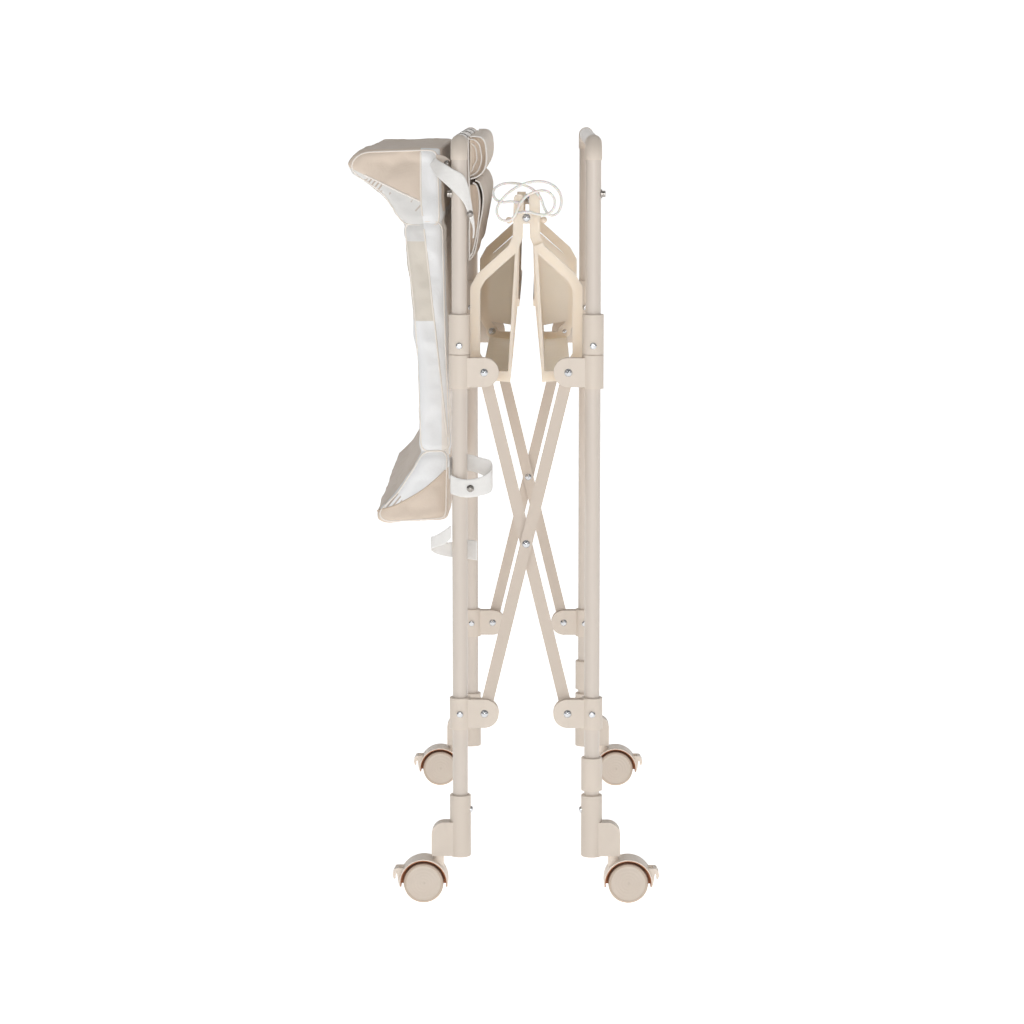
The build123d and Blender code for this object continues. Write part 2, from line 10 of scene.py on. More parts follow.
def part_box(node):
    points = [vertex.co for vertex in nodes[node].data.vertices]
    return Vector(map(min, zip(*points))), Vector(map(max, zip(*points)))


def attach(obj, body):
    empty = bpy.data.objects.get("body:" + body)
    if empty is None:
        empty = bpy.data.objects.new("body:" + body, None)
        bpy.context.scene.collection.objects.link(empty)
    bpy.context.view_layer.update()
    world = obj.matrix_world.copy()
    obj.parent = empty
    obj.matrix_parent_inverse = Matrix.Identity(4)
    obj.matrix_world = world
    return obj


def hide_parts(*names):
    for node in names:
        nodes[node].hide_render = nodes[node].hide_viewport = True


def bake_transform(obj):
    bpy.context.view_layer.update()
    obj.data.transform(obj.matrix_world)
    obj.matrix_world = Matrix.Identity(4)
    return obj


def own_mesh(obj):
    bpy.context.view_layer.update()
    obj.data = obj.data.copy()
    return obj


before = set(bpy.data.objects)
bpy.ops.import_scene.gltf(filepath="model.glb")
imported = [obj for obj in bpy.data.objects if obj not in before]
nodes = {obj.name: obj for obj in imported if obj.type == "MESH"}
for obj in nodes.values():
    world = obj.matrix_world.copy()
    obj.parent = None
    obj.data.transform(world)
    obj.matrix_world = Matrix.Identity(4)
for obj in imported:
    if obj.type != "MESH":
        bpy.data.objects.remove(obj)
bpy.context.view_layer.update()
scene = bpy.context.scene

rivet_low, rivet_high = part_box("brace_crossing_rivets")
FOLD_X = (rivet_low.x + rivet_high.x) / 2
LEG_OUT = 0.0825


def spot(out, z, y):
    """Point on the left side, given its distance out from the fold plane."""
    return Vector((FOLD_X - out, y, z))


# ---- Camera ----
camera_data = bpy.data.cameras.new("camera")
camera_data.lens = 112.88
camera_data.sensor_width = 36.0
camera = bpy.data.objects.new("camera", camera_data)
camera.location = (0.04703, -4.29645, 1.0245)
camera.rotation_euler = (math.radians(82.365), 0.0, math.radians(0.509))
scene.collection.objects.link(camera)
scene.camera = camera
scene.view_settings.view_transform = "Standard"


# ---- Material helper ----
def linear(red, green, blue):
    """Linear colour from display values 0 to 255."""
    steps = [v / 255 for v in (red, green, blue)]
    return tuple(v / 12.92 if v <= 0.04045 else ((v + 0.055) / 1.055) ** 2.4 for v in steps) + (1.0,)


class Finish:
    """One procedural material, with short calls for its nodes."""

    def __init__(self, name, **constants):
        self.material = bpy.data.materials.new(name)
        self.material.use_nodes = True
        self.tree = self.material.node_tree
        self.shader = self.tree.nodes["Principled BSDF"]
        self.place = self.tree.nodes.new("ShaderNodeTexCoord").outputs["Object"]
        self.axes = self.tree.nodes.new("ShaderNodeSeparateXYZ")
        self.tree.links.new(self.place, self.axes.inputs[0])
        self.x, self.y, self.z = self.axes.outputs
        for socket, value in constants.items():
            self.shader.inputs[socket.replace("_", " ")].default_value = value

    def feed(self, socket, value):
        """Links a node's output to a socket, or sets the socket's own value."""
        if isinstance(value, bpy.types.NodeSocket):
            self.tree.links.new(value, socket)
        else:
            socket.default_value = value

    def math(self, operation, first, second=0.0):
        node = self.tree.nodes.new("ShaderNodeMath")
        node.operation = operation
        self.feed(node.inputs[0], first)
        self.feed(node.inputs[1], second)
        return node.outputs[0]

    def step(self, low, high, value):
        """0 under low, 1 over high, smooth between."""
        node = self.tree.nodes.new("ShaderNodeMapRange")
        node.interpolation_type = "SMOOTHSTEP"
        self.feed(node.inputs["Value"], value)
        self.feed(node.inputs["From Min"], low)
        self.feed(node.inputs["From Max"], high)
        return node.outputs["Result"]

    def spread(self, value, low, high):
        """Maps 0..1 to low..high."""
        node = self.tree.nodes.new("ShaderNodeMapRange")
        self.feed(node.inputs["Value"], value)
        node.inputs["To Min"].default_value = low
        node.inputs["To Max"].default_value = high
        return node.outputs["Result"]

    def noise(self, scale, detail=2.0, stretch=None):
        node = self.tree.nodes.new("ShaderNodeTexNoise")
        node.inputs["Scale"].default_value = scale
        node.inputs["Detail"].default_value = detail
        source = self.place
        if stretch is not None:
            mapping = self.tree.nodes.new("ShaderNodeMapping")
            mapping.inputs["Scale"].default_value = stretch
            self.feed(mapping.inputs["Vector"], self.place)
            source = mapping.outputs[0]
        self.feed(node.inputs["Vector"], source)
        return node.outputs["Fac"]

    def mix(self, factor, first, second):
        node = self.tree.nodes.new("ShaderNodeMix")
        node.data_type = "RGBA"
        self.feed(node.inputs["Factor"], factor)
        self.feed(node.inputs[6], first)
        self.feed(node.inputs[7], second)
        return node.outputs[2]

    def wear(self):
        """1 on outer edges, 0 elsewhere."""
        geometry = self.tree.nodes.new("ShaderNodeNewGeometry")
        return self.step(0.53, 0.62, geometry.outputs["Pointiness"])

    def painted_corner_shade(self):
        """Mask for painted shade: 1 in inner corners, 0 elsewhere."""
        geometry = self.tree.nodes.new("ShaderNodeNewGeometry")
        return self.step(0.48, 0.40, geometry.outputs["Pointiness"])

    def weave(self, pitch):
        """Threads crossing on every facing."""
        turn = 2 * math.pi / pitch
        waves = [self.math("SINE", self.math("MULTIPLY", axis, turn)) for axis in (self.x, self.y, self.z)]
        return self.math("ADD", self.math("ADD", waves[0], waves[1]), waves[2])

    def colour(self, value):
        self.feed(self.shader.inputs["Base Color"], value)

    def roughness(self, value):
        self.feed(self.shader.inputs["Roughness"], value)

    def bump(self, *layers):
        """Stacks bumps of (height, strength, distance)."""
        normal = None
        for height, strength, distance in layers:
            node = self.tree.nodes.new("ShaderNodeBump")
            node.inputs["Strength"].default_value = strength
            node.inputs["Distance"].default_value = distance
            self.feed(node.inputs["Height"], height)
            if normal is not None:
                self.feed(node.inputs["Normal"], normal)
            normal = node.outputs[0]
        self.feed(self.shader.inputs["Normal"], normal)


def tint(colour, share):
    return tuple(min(1.0, v * share) for v in colour[:3]) + (1.0,)


def moulded(name, colour, rough=0.42, grain=1400.0, corner_shade_tint=0.80, glow=0.0):
    """Moulded plastic: fine spark texture, slow colour drift, paler edges and painted shade darkening its
    inner corners.
    """
    finish = Finish(
        name, Subsurface_Weight=glow, Subsurface_Radius=(1.0, 0.88, 0.72), Subsurface_Scale=0.02, IOR=1.46)
    drift = finish.noise(14.0, 3.0)
    speck = finish.noise(grain, 2.0)
    body = finish.mix(drift, tint(colour, 0.955), tint(colour, 1.03))
    body = finish.mix(finish.math("MULTIPLY", finish.wear(), 0.45), body, tint(colour, 1.10))
    # Painted shade: inner corners are darkened in the colour itself.
    body = finish.mix(finish.math("MULTIPLY", finish.painted_corner_shade(), 0.55), body, tint(colour, corner_shade_tint))
    finish.colour(body)
    finish.roughness(finish.spread(finish.noise(60.0, 4.0), rough - 0.07, rough + 0.10))
    finish.bump((speck, 0.12, 0.0004), (drift, 0.10, 0.004))
    return finish


def painted(name, colour, rough=0.36):
    """Powder-coated steel: orange peel, faint handling marks along its length, paler edges."""
    finish = Finish(name, Coat_Weight=0.25, Coat_Roughness=0.22, IOR=1.5)
    peel = finish.noise(420.0, 1.5)
    rub = finish.noise(22.0, 5.0, (6.0, 6.0, 0.8))
    drift = finish.noise(6.0, 2.0)
    body = finish.mix(drift, tint(colour, 0.965), tint(colour, 1.02))
    body = finish.mix(finish.math("MULTIPLY", finish.step(0.62, 0.75, rub), 0.25), body, tint(colour, 0.90))
    body = finish.mix(finish.math("MULTIPLY", finish.wear(), 0.35), body, tint(colour, 1.08))
    finish.colour(body)
    finish.roughness(finish.spread(rub, rough - 0.08, rough + 0.14))
    finish.bump((peel, 0.10, 0.0006), (rub, 0.05, 0.001))
    return finish


def plated(name, colour, rough):
    """Plated steel with a turned grain and slight tarnish."""
    finish = Finish(name, Metallic=1.0, Anisotropic=0.3)
    tarnish = finish.noise(160.0, 4.0)
    finish.colour(finish.mix(tarnish, tint(colour, 0.62), tint(colour, 1.05)))
    finish.roughness(finish.spread(tarnish, rough - 0.06, rough + 0.12))
    finish.bump((finish.noise(2600.0, 2.0), 0.08, 0.0002))
    return finish


TUBE = linear(212, 201, 190)
PLASTIC = linear(216, 204, 191)
TRAY = linear(236, 219, 200)
BRACE = linear(203, 189, 175)

tube_finish = painted("tube_paint", TUBE)
brace_finish = painted("brace_paint", BRACE, 0.40)
fitting_finish = moulded("fitting_plastic", PLASTIC)
elbow_finish = moulded("elbow_plastic", tint(PLASTIC, 1.10), 0.46)
tray_finish = moulded("tray_plastic", TRAY, 0.36, 900.0, 0.90, 0.45)
knob_finish = moulded("knob_plastic", tint(TRAY, 0.98), 0.33, 2000.0)
CASTOR_PLASTIC = linear(234, 222, 209)
castor_finish = moulded("castor_plastic", CASTOR_PLASTIC, 0.40, 1600.0, 0.80)
rivet_finish = plated("rivet_steel", (0.72, 0.73, 0.75, 1.0), 0.20)
stud_finish = plated("stud_steel", (0.46, 0.43, 0.40, 1.0), 0.26)


AXLE_HEIGHT = 0.025
RIM_SHADE_FROM = 0.0212
GUARD_RADIUS = 0.0292


def from_axle(finish, centre_x):
    """Distance from a castor's axle, seen along it."""
    dx = finish.math("SUBTRACT", finish.x, centre_x)
    dz = finish.math("SUBTRACT", finish.z, AXLE_HEIGHT)
    square = finish.math("ADD", finish.math("MULTIPLY", dx, dx), finish.math("MULTIPLY", dz, dz))
    return finish.math("SQRT", square)


def wheel_material(name, centre_x):
    """Castor wheel: plastic disc with moulded rings, a darker outer rim that is painted shade from the gap
    under the hood, and painted brown shade in its inner corners.
    """
    finish = Finish(name, IOR=1.47)
    radius = from_axle(finish, centre_x)
    drift = finish.noise(40.0, 3.0)
    disc = finish.mix(drift, linear(205, 191, 177), linear(214, 202, 189))
    # Painted shade: the outer rim is darkened where the gap under the hood lies in shade.
    rim_shade = finish.mix(drift, linear(190, 172, 154), linear(202, 186, 170))
    rim = finish.step(RIM_SHADE_FROM, RIM_SHADE_FROM + 0.001, radius)
    body = finish.mix(rim, disc, rim_shade)
    # Painted shade: the wheel's inner corners are darkened to brown.
    body = finish.mix(finish.math("MULTIPLY", finish.painted_corner_shade(), 0.7), body, linear(128, 92, 66))
    finish.colour(body)
    finish.roughness(finish.spread(finish.noise(300.0, 3.0), 0.38, 0.58))
    rings = finish.math("SINE", finish.math("MULTIPLY", radius, 2 * math.pi / 0.004))
    finish.bump((rings, 0.10, 0.0005), (finish.noise(1500.0), 0.12, 0.0004))
    return finish.material


def hood_material(name, centre_x):
    """Castor hood: pale plastic with a brown guard line beside the wheel."""
    finish = moulded(name, CASTOR_PLASTIC, 0.40, 1600.0, 0.80)
    guard = finish.step(GUARD_RADIUS + 0.0002, GUARD_RADIUS, from_axle(finish, centre_x))
    body = finish.shader.inputs["Base Color"].links[0].from_socket
    finish.colour(finish.mix(guard, body, linear(168, 104, 62)))
    return finish.material


def wear_on(node, material):
    """Gives a CAD node its material."""
    slots = nodes[node].material_slots
    if not slots:
        nodes[node].data.materials.append(material)
    for slot in nodes[node].material_slots:
        slot.material = material


FINISH_OF = (
    ("castor_brake", castor_finish),
    ("top_rail", tube_finish),
    ("leg_sleeves", fitting_finish),
    ("leg_", tube_finish),
    ("elbows", elbow_finish),
    ("snap_studs", stud_finish),
    ("screws", rivet_finish),
    ("pins", rivet_finish),
    ("rivets", rivet_finish),
    ("brace_", brace_finish),
    ("knob", knob_finish),
    ("tray", tray_finish),
)
for node_name in nodes:
    if node_name.startswith("castor_wheel"):
        wheel_low, wheel_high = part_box(node_name)
        wear_on(node_name, wheel_material(f"{node_name}_finish", (wheel_low.x + wheel_high.x) / 2))
        continue
    if node_name.startswith("castor_hood"):
        wheel_low, wheel_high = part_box(node_name.replace("hood", "wheel"))
        wear_on(node_name, hood_material(f"{node_name}_finish", (wheel_low.x + wheel_high.x) / 2))
        continue
    chosen = next((finish for word, finish in FINISH_OF if word in node_name), fitting_finish)
    wear_on(node_name, chosen.material)

# ---- Pull cord ----
CORD_RADIUS = 0.00175
# (across from the fold plane, height, distance towards the near end)
CORD_ROUTE = (
    (-0.0100, 0.8770, 0.3230),
    (-0.0100, 0.8770, 0.3330),
    (-0.0190, 0.8790, 0.3390),
    (-0.0300, 0.8770, 0.3395),
    (-0.0395, 0.8815, 0.3370),
    (-0.0415, 0.8920, 0.3345),
    (-0.0335, 0.8990, 0.3325),
    (-0.0200, 0.9015, 0.3320),
    (-0.0050, 0.8995, 0.3315),
    (0.0085, 0.8935, 0.3320),
    (0.0180, 0.8835, 0.3330),
    (0.0215, 0.8710, 0.3345),
    (0.0280, 0.8605, 0.3360),
    (0.0385, 0.8625, 0.3370),
    (0.0435, 0.8745, 0.3375),
    (0.0425, 0.8880, 0.3380),
    (0.0340, 0.8985, 0.3385),
    (0.0205, 0.9035, 0.3390),
    (0.0055, 0.9030, 0.3395),
    (-0.0090, 0.8980, 0.3400),
    (-0.0215, 0.8900, 0.3410),
    (-0.0315, 0.8800, 0.3435),
    (-0.0375, 0.8680, 0.3445),
    (-0.0330, 0.8565, 0.3445),
    (-0.0215, 0.8540, 0.3450),
    (-0.0130, 0.8620, 0.3455),
    (-0.0095, 0.8745, 0.3450),
    (-0.0015, 0.8850, 0.3440),
    (0.0110, 0.8915, 0.3435),
    (0.0245, 0.8925, 0.3435),
    (0.0345, 0.8845, 0.3435),
    (0.0355, 0.8720, 0.3430),
    (0.0275, 0.8625, 0.3420),
    (0.0150, 0.8625, 0.3405),
    (0.0030, 0.8665, 0.3390),
    (-0.0095, 0.8645, 0.3335),
    (-0.0095, 0.8645, 0.3230),
)
cord_curve = bpy.data.curves.new("pull_cord_line", "CURVE")
cord_curve.dimensions = "3D"
cord_spline = cord_curve.splines.new("NURBS")
cord_spline.points.add(len(CORD_ROUTE) - 1)
for control, (across, height, along) in zip(cord_spline.points, CORD_ROUTE):
    control.co = (FOLD_X + across, -along, height, 1.0)
cord_spline.order_u = 3
cord_spline.use_endpoint_u = True
cord_curve.resolution_u = 10
cord_curve.bevel_depth = CORD_RADIUS
cord_curve.bevel_resolution = 5
cord_curve.use_fill_caps = True
cord = bpy.data.objects.new("pull_cord_strand", cord_curve)
scene.collection.objects.link(cord)

cord_finish = Finish("cord_braid", IOR=1.42, Subsurface_Weight=0.3, Subsurface_Scale=0.002)
cord_lay = cord_finish.math("ADD", cord_finish.math("ADD", cord_finish.x, cord_finish.y), cord_finish.z)
cord_twist = cord_finish.math("SINE", cord_finish.math("MULTIPLY", cord_lay, 2 * math.pi / 0.0022))
cord_drift = cord_finish.noise(90.0, 2.0)
cord_finish.colour(cord_finish.mix(cord_drift, linear(222, 218, 211), linear(243, 241, 237)))
cord_finish.roughness(cord_finish.spread(cord_drift, 0.18, 0.34))
cord_finish.bump((cord_twist, 0.25, 0.0003))
cord.data.materials.append(cord_finish.material)
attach(cord, "tray_left")
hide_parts("pull_cord")


# ---- Mesh helpers ----
def piece(name, mesh, material):
    """New object from a mesh, smooth, with its finish."""
    obj = bpy.data.objects.new(name, mesh)
    scene.collection.objects.link(obj)
    mesh.materials.clear()
    mesh.materials.append(material)
    for face in mesh.polygons:
        face.use_smooth = True
    return obj


def settle(obj):
    """Applies every modifier, so the piece is a plain mesh."""
    graph = bpy.context.evaluated_depsgraph_get()
    final = bpy.data.meshes.new_from_object(obj.evaluated_get(graph))
    obj.modifiers.clear()
    obj.data = final
    for face in final.polygons:
        face.use_smooth = True
    return obj


def smooth_line(points, steps):
    """Points along a Catmull-Rom curve through the given points."""
    ends = [2 * points[0] - points[1]] + list(points) + [2 * points[-1] - points[-2]]
    line = []
    for i in range(1, len(ends) - 2):
        before, start, stop, after = ends[i - 1], ends[i], ends[i + 1], ends[i + 2]
        for k in range(steps):
            t = k / steps
            line.append(
                0.5 * (2 * start + (stop - before) * t
                       + (2 * before - 5 * start + 4 * stop - after) * t * t
                       + (3 * start - before - 3 * stop + after) * t * t * t)
            )
    line.append(points[-1])
    return line


def grid_mesh(name, rows):
    """Quad sheet from rows of points."""
    columns = len(rows[0])
    faces = []
    for i in range(len(rows) - 1):
        for k in range(columns - 1):
            corner = i * columns + k
            faces.append((corner, corner + 1, corner + columns + 1, corner + columns))
    mesh = bpy.data.meshes.new(name)
    mesh.from_pydata([tuple(p) for row in rows for p in row], [], faces)
    return mesh


def thicken(obj, thickness, levels=1, even=True):
    """Gives a sheet its thickness and rounds it."""
    shell = obj.modifiers.new("shell", "SOLIDIFY")
    shell.thickness = thickness
    shell.offset = 0.0
    shell.use_even_offset = even
    if levels:
        rounding = obj.modifiers.new("rounding", "SUBSURF")
        rounding.levels = levels
        rounding.render_levels = levels
    return settle(obj)


def webbing(name, stations, material, thickness=0.0013, steps=6, across=6):
    """Flat strap through stations of (one edge, other edge), with rolled selvedges."""
    first = smooth_line([a for a, _ in stations], steps)
    second = smooth_line([b for _, b in stations], steps)
    rows = []
    for start, stop in zip(first, second):
        rows.append([start.lerp(stop, k / across) for k in range(across + 1)])
    obj = piece(name, grid_mesh(name, rows), material)
    return thicken(obj, thickness)


def cord_tube(name, points, radius, material, steps, closed=False):
    """Thin round trim along points, such as piping."""
    curve = bpy.data.curves.new(name, "CURVE")
    curve.dimensions = "3D"
    curve.bevel_depth = radius
    curve.bevel_resolution = 2
    curve.use_fill_caps = not closed
    spline = curve.splines.new("POLY")
    line = points if closed else smooth_line(points, steps)
    spline.points.add(len(line) - 1)
    for control, point in zip(spline.points, line):
        control.co = tuple(point) + (1.0,)
    spline.use_cyclic_u = closed
    temporary = bpy.data.objects.new(name + "_line", curve)
    scene.collection.objects.link(temporary)
    graph = bpy.context.evaluated_depsgraph_get()
    mesh = bpy.data.meshes.new_from_object(temporary.evaluated_get(graph))
    bpy.data.objects.remove(temporary)
    return piece(name, mesh, material)


TURNED_SIDES = 24


def turned(name, centre, axis, profile, material):
    """Solid of revolution: profile is (radius, height) along axis from centre."""
    axis = Vector(axis).normalized()
    side = axis.orthogonal().normalized()
    other = axis.cross(side)
    shape = bmesh.new()
    rings = []
    for radius, height in profile:
        ring = []
        for k in range(TURNED_SIDES):
            angle = 2 * math.pi * k / TURNED_SIDES
            reach = side * (math.cos(angle) * radius) + other * (math.sin(angle) * radius)
            ring.append(shape.verts.new(centre + axis * height + reach))
        rings.append(ring)
    for lower, upper in zip(rings, rings[1:]):
        for k in range(TURNED_SIDES):
            following = (k + 1) % TURNED_SIDES
            shape.faces.new((lower[k], lower[following], upper[following], upper[k]))
    shape.faces.new(list(reversed(rings[0])))
    shape.faces.new(rings[-1])
    mesh = bpy.data.meshes.new(name)
    shape.to_mesh(mesh)
    shape.free()
    return piece(name, mesh, material)


def snap(name, centre, axis, size):
    """Dome-headed press snap with a stepped flange."""
    profile = (
        (size, 0.0),
        (size * 1.04, 0.0004),
        (size * 0.98, 0.0009),
        (size * 0.74, 0.0011),
        (size * 0.68, 0.0017),
        (size * 0.50, 0.0024),
        (size * 0.22, 0.0027),
        (size * 0.05, 0.0028),
    )
    return turned(name, centre, axis, profile, stud_finish.material)


# ---- Mat covers ----
MAT_HALF = 0.320
COVER_HALF = MAT_HALF - 0.003
COVER_INSET = 0.0025
VOXEL = 0.006
PRESSURE = 4.0
TOP_OUTLINE = (
    (0.104, 0.945), (0.207, 0.944), (0.2185, 0.9355), (0.2245, 0.925), (0.220, 0.9135),
    (0.200, 0.9005), (0.176, 0.8795), (0.1535, 0.850), (0.1495, 0.843), (0.1020, 0.843),
)
BASE_OUTLINE = (
    (0.1510, 0.860), (0.1515, 0.850), (0.1435, 0.757), (0.1355, 0.669), (0.1315, 0.560),
    (0.0945, 0.560), (0.0945, 0.719), (0.103, 0.860),
)
LOW_OUTLINE = (
    (0.1290, 0.574), (0.1330, 0.561), (0.170, 0.511), (0.188, 0.492), (0.1915, 0.485), (0.187, 0.477),
    (0.178, 0.473), (0.097, 0.479), (0.0945, 0.483), (0.0945, 0.574),
)


def inset_outline(outline, amount):
    """Outline drawn in towards its middle."""
    middle_out = sum(p[0] for p in outline) / len(outline)
    middle_z = sum(p[1] for p in outline) / len(outline)
    moved = []
    for out, z in outline:
        reach = math.hypot(out - middle_out, z - middle_z)
        share = (reach - amount) / reach
        moved.append((middle_out + (out - middle_out) * share, middle_z + (z - middle_z) * share))
    return moved


def prism(name, outline, half_length):
    """Closed solid of the outline along Y, with rounded edges."""
    shape = bmesh.new()
    near = [shape.verts.new(spot(out, z, -half_length)) for out, z in outline]
    far = [shape.verts.new(spot(out, z, half_length)) for out, z in outline]
    count = len(outline)
    shape.faces.new(near)
    shape.faces.new(list(reversed(far)))
    for k in range(count):
        shape.faces.new((near[k], near[(k + 1) % count], far[(k + 1) % count], far[k]))
    bmesh.ops.recalc_face_normals(shape, faces=shape.faces)
    rim = [e for e in shape.edges if abs(e.verts[0].co.y - e.verts[1].co.y) < 1e-6]
    bmesh.ops.bevel(shape, geom=rim, offset=0.006, segments=3, profile=0.6, affect="EDGES")
    mesh = bpy.data.meshes.new(name)
    shape.to_mesh(mesh)
    shape.free()
    return mesh


def fill_out(obj, outline, cap):
    """Remesh, inflate as cloth held at its end seams, cap the movement, and subdivide once."""
    remesh = obj.modifiers.new("remesh", "REMESH")
    remesh.mode = "VOXEL"
    remesh.voxel_size = VOXEL
    settle(obj)
    rest = [v.co.copy() for v in obj.data.vertices]
    held = obj.vertex_groups.new(name="held")
    for vertex in obj.data.vertices:
        near_end = COVER_HALF - abs(vertex.co.y) < 0.010
        edge = rim_distance(vertex.co, outline)
        if near_end and edge < 0.009:
            held.add([vertex.index], 1.0, "REPLACE")
        elif edge < 0.006:
            held.add([vertex.index], 0.25, "REPLACE")
    cloth = obj.modifiers.new("cloth", "CLOTH")
    cloth.settings.quality = 5
    cloth.settings.mass = 0.25
    cloth.settings.tension_stiffness = 14
    cloth.settings.compression_stiffness = 10
    cloth.settings.bending_stiffness = 0.25
    cloth.settings.use_pressure = True
    cloth.settings.uniform_pressure_force = PRESSURE
    cloth.settings.shrink_min = -0.03
    cloth.settings.vertex_group_mass = "held"
    cloth.settings.effector_weights.gravity = 0.0
    cloth.collision_settings.use_self_collision = False
    for step in range(1, 21):
        scene.frame_set(step)
    graph = bpy.context.evaluated_depsgraph_get()
    swollen = obj.evaluated_get(graph).to_mesh()
    moved = [v.co.copy() for v in swollen.vertices]
    obj.modifiers.clear()
    scene.frame_set(1)
    for vertex, start, stop in zip(obj.data.vertices, rest, moved):
        shift = stop - start
        if shift.length > cap:
            shift *= cap / shift.length
        vertex.co = start + shift
    rounding = obj.modifiers.new("rounding", "SUBSURF")
    rounding.levels = 1
    rounding.render_levels = 1
    return settle(obj)


def rim_distance(point, outline):
    """Distance of a point from the outline's edges, seen along Y."""
    out, z = FOLD_X - point.x, point.z
    best = 1.0
    for k, (a_out, a_z) in enumerate(outline):
        b_out, b_z = outline[(k + 1) % len(outline)]
        run_out, run_z = b_out - a_out, b_z - a_z
        t = ((out - a_out) * run_out + (z - a_z) * run_z) / (run_out ** 2 + run_z ** 2)
        t = min(1.0, max(0.0, t))
        best = min(best, math.hypot(out - a_out - run_out * t, z - a_z - run_z * t))
    return best


def bell(value, width):
    return math.exp(-((value / width) ** 2))


def ruffle(obj, creases, pull):
    """Soft cover: gathers fanning from its creases, slack rolls between them, and a pulled-in seam."""
    mesh = obj.data
    normals = [v.normal.copy() for v in mesh.vertices]
    for vertex, normal in zip(mesh.vertices, normals):
        co = vertex.co
        slack = noise.noise(Vector((co.x * 9, co.y * 11, co.z * 9)))
        roll = noise.noise(Vector((co.x * 30, co.y * 38 + 4, co.z * 14)))
        shift = 0.0016 * slack + 0.0007 * roll
        for height in creases:
            reach = co.z - height
            phase = co.y * 230 + 9 * noise.noise(Vector((co.y * 12, co.z * 20, 3.0)))
            gather = math.sin(phase) * bell(reach, 0.030) * (0.5 + 0.5 * abs(slack) * 2)
            shift += 0.0013 * gather
            shift -= pull * bell(reach, 0.0045)
        vertex.co = co + normal * shift
    mesh.update()


FABRIC_WHITE = linear(235, 235, 235)
FABRIC_BEIGE = linear(216, 200, 184)
FABRIC_PALE = linear(218, 216, 213)
FABRIC_PANEL = linear(214, 206, 194)
FABRIC_BACK = linear(238, 231, 223)
PRINT_BROWN = linear(172, 150, 130)
DASH_DENSITY = 38.0
END_ZONE = 0.3100
EDGE_SOFT = 0.0006


def fabric(name, rough=0.62, pitch=0.0011):
    """Coated woven cover: fine weave, slow creases and a soft sheen."""
    finish = Finish(name, Sheen_Weight=0.22, Sheen_Roughness=0.45, IOR=1.42)
    finish.roughness(finish.spread(finish.noise(80.0, 4.0), rough - 0.10, rough + 0.08))
    finish.bump(
        (finish.noise(26.0, 5.0), 0.22, 0.006),
        (finish.noise(130.0, 3.0), 0.16, 0.0015),
        (finish.weave(pitch), 0.14, 0.00025),
    )
    return finish


def mottled(finish, colour):
    """A fabric colour with the slight unevenness of dyed cloth."""
    cloudy = finish.noise(30.0, 4.0)
    thready = finish.noise(900.0, 2.0)
    body = finish.mix(cloudy, tint(colour, 0.965), tint(colour, 1.02))
    return finish.mix(finish.math("MULTIPLY", thready, 0.18), body, tint(colour, 0.93))


def line_side(finish, start, stop):
    """1 above the line through two (out, z) points, 0 below."""
    slope = (stop[1] - start[1]) / (stop[0] - start[0])
    out = finish.math("SUBTRACT", FOLD_X, finish.x)
    climb = finish.math("MULTIPLY", finish.math("SUBTRACT", out, start[0]), slope)
    line = finish.math("ADD", climb, start[1])
    return finish.step(-EDGE_SOFT, EDGE_SOFT, finish.math("SUBTRACT", finish.z, line))


def band(finish, value, low, high):
    """1 between low and high."""
    above = finish.step(low - EDGE_SOFT, low + EDGE_SOFT, value)
    below = finish.step(high + EDGE_SOFT, high - EDGE_SOFT, value)
    return finish.math("MULTIPLY", above, below)


def end_mask(finish):
    """1 on the mat's end faces, 0 between them."""
    return finish.step(END_ZONE - 0.001, END_ZONE + 0.001, finish.math("ABSOLUTE", finish.y))


def edge_band(finish):
    """1 on the white edge strip of an end face, next to the mat's back."""
    out = finish.math("SUBTRACT", FOLD_X, finish.x)
    slope = finish.math("MULTIPLY", finish.math("SUBTRACT", finish.z, 0.730), 0.108)
    line = finish.math("MINIMUM", finish.math("ADD", slope, 0.1142), 0.1305)
    inside = finish.step(EDGE_SOFT, -EDGE_SOFT, finish.math("SUBTRACT", out, line))
    return finish.math("MULTIPLY", inside, end_mask(finish))


def dashes(finish, density):
    """Scattered short strokes of a plain print."""
    cells = finish.tree.nodes.new("ShaderNodeTexVoronoi")
    cells.inputs["Scale"].default_value = density
    cells.inputs["Randomness"].default_value = 0.75
    finish.feed(cells.inputs["Vector"], finish.place)
    away = finish.tree.nodes.new("ShaderNodeVectorMath")
    away.operation = "SUBTRACT"
    finish.feed(away.inputs[0], finish.place)
    finish.feed(away.inputs[1], cells.outputs["Position"])
    parts = finish.tree.nodes.new("ShaderNodeSeparateXYZ")
    finish.feed(parts.inputs[0], away.outputs[0])
    flat = finish.math("ADD", parts.outputs[0], parts.outputs[1])
    along = finish.math("ADD", flat, parts.outputs[2])
    aside = finish.math("SUBTRACT", parts.outputs[2], flat)
    length = finish.step(0.0085, 0.0075, finish.math("ABSOLUTE", along))
    width = finish.step(0.0017, 0.0011, finish.math("ABSOLUTE", aside))
    return finish.math("MULTIPLY", length, width)


STRIPE_PITCH = 0.0062


def stripes(finish, out, z, reach):
    """A small patch of slanted stripes on an end face."""
    side = finish.math("SUBTRACT", finish.math("SUBTRACT", FOLD_X, finish.x), out)
    rise = finish.math("SUBTRACT", finish.z, z)
    square = finish.math("ADD", finish.math("MULTIPLY", side, side), finish.math("MULTIPLY", rise, rise))
    patch = finish.step(reach, reach * 0.9, finish.math("SQRT", square))
    slant = finish.math("ADD", side, finish.math("MULTIPLY", rise, 0.8))
    wave = finish.math("SINE", finish.math("MULTIPLY", slant, 2 * math.pi / STRIPE_PITCH))
    lines = finish.step(0.15, 0.45, wave)
    return finish.math("MULTIPLY", finish.math("MULTIPLY", patch, lines), end_mask(finish))


